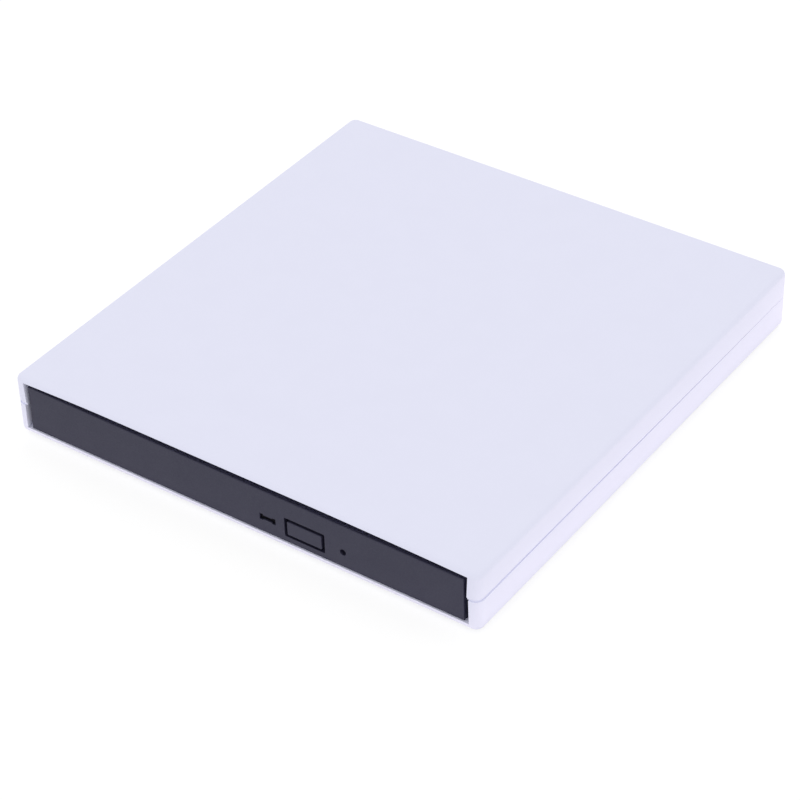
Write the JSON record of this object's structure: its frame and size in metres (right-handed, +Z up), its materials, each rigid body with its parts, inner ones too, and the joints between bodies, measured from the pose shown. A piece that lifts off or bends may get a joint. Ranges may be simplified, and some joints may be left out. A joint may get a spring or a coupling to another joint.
{
  "type": "external optical disc drive",
  "caption": "Flat square-cornered two-shell case holding a slim tray-loading disc drive, with a dark bezel set in its mouth, eject button, light, pinhole and rear cable socket.",
  "frame": {"origin": "middle of the box round the part, at the bottom of its feet", "axes": "+Z up, -Y out of the front where the tray comes out, +X to the right seen from the front"},
  "size_m": [0.136, 0.142, 0.0176],
  "materials": {
    "white_abs": "satin moulded",
    "black_plastic": "fine texture",
    "dark_plastic": "moulded",
    "smoked_plastic": "clear smoked",
    "foot_rubber": "matt",
    "screw_steel": "zinc plated",
    "pan_steel": "zinc-coated sheet",
    "bright_steel": "bright",
    "board_green": "solder mask",
    "chip_black": "moulded",
    "pale_nylon": "moulded",
    "bearing_brass": "turned",
    "coil_copper": "enamelled wire",
    "cast_alloy": "die cast",
    "lens_glass": "polished"
  },
  "bodies": {
    "case": {"top_shell": "white_abs", "bottom_shell": "white_abs", "rubber_feet": "foot_rubber", "case_screws": "screw_steel", "bridge_board": "board_green", "bridge_socket": "pale_nylon", "bridge_chips": "chip_black", "usb_shell": "bright_steel", "usb_contacts": "chip_black", "drive_pan": "pan_steel", "drive_cover": "bright_steel", "cover_screws": "screw_steel", "guide_left": "dark_plastic", "guide_right": "dark_plastic", "main_board": "board_green", "main_chips": "chip_black", "drive_connector": "chip_black", "lock_post": "pan_steel", "ribbon_cable": "pale_nylon"},
    "left_rail": {"rail_left": "bright_steel"},
    "right_rail": {"rail_right": "bright_steel"},
    "tray": {"tray": "black_plastic", "bezel": "black_plastic", "light_pipe": "smoked_plastic", "front_board": "board_green", "eject_switch": "dark_plastic", "activity_led": "pale_nylon", "bottom_shield": "bright_steel", "mechanism_cover": "dark_plastic", "traverse_plate": "pan_steel", "dampers": "foot_rubber", "damper_screws": "screw_steel", "motor_base": "board_green", "spindle_bearing": "bearing_brass", "spindle_stator": "coil_copper", "guide_rods": "bright_steel", "rod_clamps": "dark_plastic", "screw_bracket": "pan_steel", "sled_motor": "pan_steel", "tray_ribbon_socket": "dark_plastic", "latch_core": "pan_steel", "latch_coil": "coil_copper", "lever_clip": "screw_steel", "plunger_housing": "dark_plastic", "eject_spring": "bright_steel"},
    "button": {"eject_button": "black_plastic", "switch_plunger": "pale_nylon"},
    "spindle": {"spindle_rotor": "pan_steel", "turntable_hub": "black_plastic", "turntable_pad": "foot_rubber", "hub_claws": "pale_nylon"},
    "sled": {"pickup_sled": "cast_alloy", "screw_follower": "pale_nylon", "lens_magnets": "pan_steel"},
    "lens": {"lens_holder": "dark_plastic", "objective_lens": "lens_glass"},
    "screw": {"lead_screw": "bright_steel"},
    "lever": {"lock_lever": "pale_nylon"},
    "plunger": {"eject_plunger": "bright_steel"}
  },
  "joints": [
    {"name": "tray_slide", "type": "slide", "parent": "case", "child": "tray", "axis": [0, -1, 0], "range_m": [0, 0.128], "deforming": ["ribbon_cable"]},
    {"name": "rail_left_slide", "type": "slide", "parent": "case", "child": "left_rail", "axis": [0, -1, 0], "range_m": [0, 0.064]},
    {"name": "rail_right_slide", "type": "slide", "parent": "case", "child": "right_rail", "axis": [0, -1, 0], "range_m": [0, 0.064]},
    {"name": "eject_press", "type": "slide", "parent": "tray", "child": "button", "axis": [0, 1, 0], "range_m": [0, 0.0006], "stiffness_N_per_m": 500},
    {"name": "spindle_turn", "type": "hinge", "parent": "tray", "child": "spindle", "pos_m": [0, -0.0046, 0.0106], "axis": [0, 0, 1], "continuous": true},
    {"name": "sled_slide", "type": "slide", "parent": "tray", "child": "sled", "axis": [-0.7071, -0.7071, 0], "range_m": [0, 0.033]},
    {"name": "lens_focus", "type": "slide", "parent": "sled", "child": "lens", "axis": [0, 0, 1], "range_m": [-0.0004, 0.0004], "stiffness_N_per_m": 60},
    {"name": "screw_turn", "type": "hinge", "parent": "tray", "child": "screw", "pos_m": [-0.01379, 0.00919, 0.0076], "axis": [-0.7071, -0.7071, 0], "range_deg": [-3965, 0]},
    {"name": "lock_swing", "type": "hinge", "parent": "tray", "child": "lever", "pos_m": [0.0255, -0.036, 0.0062], "axis": [0, 0, 1], "range_deg": [-14, 0]},
    {"name": "plunger_slide", "type": "slide", "parent": "tray", "child": "plunger", "axis": [0, 1, 0], "range_m": [0, 0.012], "deforming": ["eject_spring"]}
  ],
  "couplings": [
    {"joint": "rail_left_slide", "follows": "tray_slide", "ratio": 0.5},
    {"joint": "rail_right_slide", "follows": "tray_slide", "ratio": 0.5},
    {"joint": "plunger_slide", "follows": "tray_slide", "ratio": 0.09375},
    {"joint": "screw_turn", "follows": "sled_slide", "rad_per_m": -2094.4}
  ]
}
